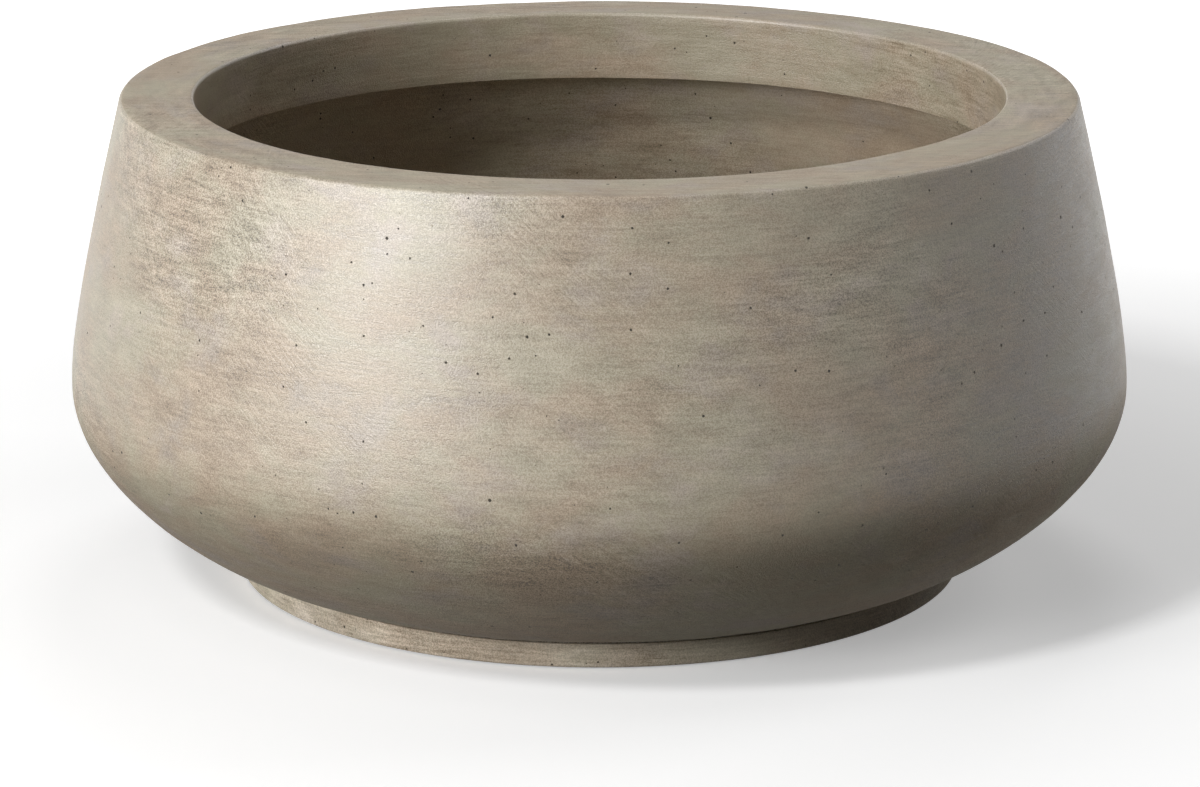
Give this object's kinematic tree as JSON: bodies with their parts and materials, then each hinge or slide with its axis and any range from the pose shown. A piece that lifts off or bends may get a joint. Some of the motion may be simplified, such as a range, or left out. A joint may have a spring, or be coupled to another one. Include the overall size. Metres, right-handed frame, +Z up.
{
  "type": "bowl planter",
  "caption": "Low round concrete bowl planter with a broad turned-in rim, a separate foot ring on rubber pads, and a plugged drain in its floor.",
  "frame": {"origin": "on the floor, at the centre of the planter's round footprint", "axes": "+Z up along the bowl's axis; X and Y are level, with the four pads at 45 degrees between them"},
  "size_m": [0.6, 0.6, 0.275],
  "materials": {
    "bowl_concrete": "fine cast concrete, warm grey-brown, brushed and weathered, unsealed",
    "ring_concrete": "fine cast concrete, a little paler and more open than the bowl",
    "mortar": "sandy bedding mortar",
    "sleeve_plastic": "dark grey moulded polypropylene",
    "plug_rubber": "black moulded rubber",
    "pad_rubber": "black sheet rubber"
  },
  "bodies": {
    "planter": {"bowl_shell": "bowl_concrete", "foot_ring": "ring_concrete", "mortar_bed": "mortar", "drain_bush": "sleeve_plastic", "foot_pad_1": "pad_rubber", "foot_pad_2": "pad_rubber", "foot_pad_3": "pad_rubber", "foot_pad_4": "pad_rubber"},
    "plug": {"drain_plug": "plug_rubber"}
  },
  "joints": [
    {"name": "plug_lift", "type": "slide", "parent": "planter", "child": "plug", "axis": [0, 0, 1], "range_m": [0, 0.27]}
  ]
}
